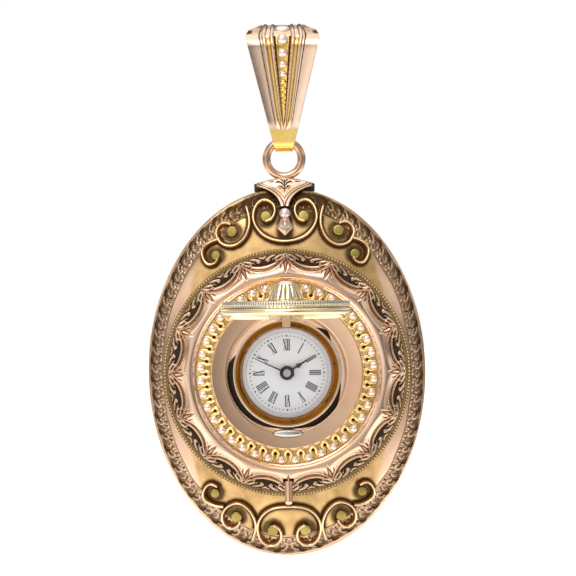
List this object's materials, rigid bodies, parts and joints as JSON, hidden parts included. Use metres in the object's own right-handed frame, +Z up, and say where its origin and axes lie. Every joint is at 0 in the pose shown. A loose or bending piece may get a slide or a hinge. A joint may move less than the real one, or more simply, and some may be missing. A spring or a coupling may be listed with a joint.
{
  "type": "pendant watch",
  "caption": "Oval gold pendant watch on a folded bail, with a round raised face, a small enamel dial, a sprung lid standing open and applied scrolls.",
  "frame": {"origin": "centre of the round top of the bail's loop, where a chain or a pin passes", "axes": "+Z up along the hanging watch, +X to the onlooker's right, the face looks along -Y"},
  "size_m": [0.041, 0.0323, 0.0788],
  "materials": {
    "pink_gold": "polished",
    "yellow_gold": "polished",
    "movement_brass": "gilt",
    "steel": "polished",
    "blued_steel": "blued",
    "enamel": "glossy",
    "crystal": "clear",
    "stone": "polished",
    "jewel": "polished"
  },
  "bodies": {
    "bail": {"bail_strap": "pink_gold", "bail_ornament": "yellow_gold"},
    "case": {"pendant_ring": "pink_gold", "saddle": "pink_gold", "saddle_ornament": "yellow_gold", "case_front": "pink_gold", "case_middle": "pink_gold", "dust_cover": "pink_gold", "back_hinge_knuckles": "pink_gold", "back_hinge_pin": "pink_gold", "boss": "pink_gold", "milled_ring": "pink_gold", "scalloped_band": "pink_gold", "gallery_wire": "yellow_gold", "gallery_beads": "pink_gold", "inner_plate": "pink_gold", "rehaut": "pink_gold", "crystal": "crystal", "dial": "enamel", "main_plate": "movement_brass", "pillars": "movement_brass", "movement_ring": "movement_brass", "barrel_bridge": "movement_brass", "train_bridge": "movement_brass", "balance_cock": "movement_brass", "jewels": "jewel", "bridge_screws": "blued_steel", "lid_hinge_knuckles": "yellow_gold", "lid_hinge_pin": "yellow_gold", "scroll_top": "yellow_gold", "scroll_bottom": "yellow_gold", "scroll_upper_left": "yellow_gold", "scroll_upper_right": "yellow_gold", "scroll_lower_left": "yellow_gold", "scroll_lower_right": "yellow_gold", "pellets": "yellow_gold"},
    "back_cover": {"back_cover": "pink_gold"},
    "lid": {"lid_shell": "yellow_gold", "lid_cover": "yellow_gold", "stone_collet": "yellow_gold", "stone": "stone"},
    "lift_finger": {"lift_finger": "pink_gold"},
    "push_piece": {"push_peg": "pink_gold", "catch": "steel"},
    "minute_hand": {"cannon_pinion": "steel", "minute_hand": "blued_steel"},
    "hour_hand": {"hour_wheel": "movement_brass", "hour_hand": "blued_steel"},
    "minute_wheel": {"minute_wheel": "movement_brass"},
    "barrel": {"barrel": "movement_brass", "mainspring": "steel"},
    "winding_arbor": {"winding_arbor": "steel", "ratchet_wheel": "steel"},
    "click": {"click": "steel"},
    "centre_wheel": {"centre_wheel": "movement_brass"},
    "third_wheel": {"third_wheel": "movement_brass"},
    "fourth_wheel": {"fourth_wheel": "movement_brass"},
    "escape_wheel": {"escape_wheel": "steel"},
    "balance": {"balance_wheel": "movement_brass", "hairspring": "blued_steel"}
  },
  "joints": [
    {"name": "bail_swing", "type": "hinge", "parent": "bail", "child": "case", "pos_m": [0, 0, -0.014], "axis": [1, 0, 0], "range_deg": [-60, 60]},
    {"name": "lid_hinge", "type": "hinge", "parent": "case", "child": "lid", "pos_m": [0, -0.0091, -0.03795], "axis": [1, 0, 0], "range_deg": [0, 90], "stiffness_Nm_per_rad": 0.0005, "springref_deg": -85.94},
    {"name": "lift_finger_slide", "type": "slide", "parent": "case", "child": "lift_finger", "axis": [0, 1, 0], "range_m": [0, 0.00051]},
    {"name": "push_peg_slide", "type": "slide", "parent": "case", "child": "push_piece", "axis": [0, 0, 1], "range_m": [0, 0.0003], "stiffness_N_per_m": 1500, "springref_m": -0.0003},
    {"name": "back_cover_hinge", "type": "hinge", "parent": "case", "child": "back_cover", "pos_m": [-0.0199, 0.0015, -0.04805], "axis": [0, 0, 1], "range_deg": [0, 100]},
    {"name": "minute_hand_turn", "type": "hinge", "parent": "case", "child": "minute_hand", "pos_m": [0, 0, -0.04805], "axis": [0, 1, 0], "continuous": true},
    {"name": "hour_hand_turn", "type": "hinge", "parent": "case", "child": "hour_hand", "pos_m": [0, 0, -0.04805], "axis": [0, 1, 0], "continuous": true},
    {"name": "minute_wheel_turn", "type": "hinge", "parent": "case", "child": "minute_wheel", "pos_m": [-0.00141, 0, -0.04946], "axis": [0, 1, 0], "continuous": true},
    {"name": "escape_wheel_turn", "type": "hinge", "parent": "case", "child": "escape_wheel", "pos_m": [-0.001, 0, -0.05185], "axis": [0, 1, 0], "continuous": true},
    {"name": "fourth_wheel_turn", "type": "hinge", "parent": "case", "child": "fourth_wheel", "pos_m": [0.0012, 0, -0.05115], "axis": [0, 1, 0], "continuous": true},
    {"name": "third_wheel_turn", "type": "hinge", "parent": "case", "child": "third_wheel", "pos_m": [0.00304, 0, -0.04916], "axis": [0, 1, 0], "continuous": true},
    {"name": "centre_wheel_turn", "type": "hinge", "parent": "case", "child": "centre_wheel", "pos_m": [0, 0, -0.04805], "axis": [0, 1, 0], "continuous": true},
    {"name": "barrel_turn", "type": "hinge", "parent": "case", "child": "barrel", "pos_m": [-0.00193, 0, -0.04472], "axis": [0, 1, 0], "continuous": true},
    {"name": "winding_turn", "type": "hinge", "parent": "case", "child": "winding_arbor", "pos_m": [-0.00193, 0, -0.04472], "axis": [0, 1, 0], "continuous": true},
    {"name": "click_swing", "type": "hinge", "parent": "case", "child": "click", "pos_m": [-0.0043, 0, -0.04345], "axis": [0, 1, 0], "range_deg": [-8, 0], "stiffness_Nm_per_rad": 0.00001},
    {"name": "balance_swing", "type": "hinge", "parent": "case", "child": "balance", "pos_m": [-0.00235, 0, -0.051], "axis": [0, 1, 0], "range_deg": [-135, 135], "stiffness_Nm_per_rad": 0.00000005}
  ],
  "couplings": [
    {"joint": "lift_finger_slide", "follows": "lid_hinge", "m_per_rad": 0.000318},
    {"joint": "hour_hand_turn", "follows": "minute_hand_turn", "ratio": 0.083333},
    {"joint": "minute_wheel_turn", "follows": "minute_hand_turn", "ratio": -0.33333},
    {"joint": "fourth_wheel_turn", "follows": "escape_wheel_turn", "ratio": -0.1},
    {"joint": "third_wheel_turn", "follows": "escape_wheel_turn", "ratio": 0.013333},
    {"joint": "centre_wheel_turn", "follows": "escape_wheel_turn", "ratio": -0.0016667},
    {"joint": "barrel_turn", "follows": "escape_wheel_turn", "ratio": 0.00027778}
  ]
}
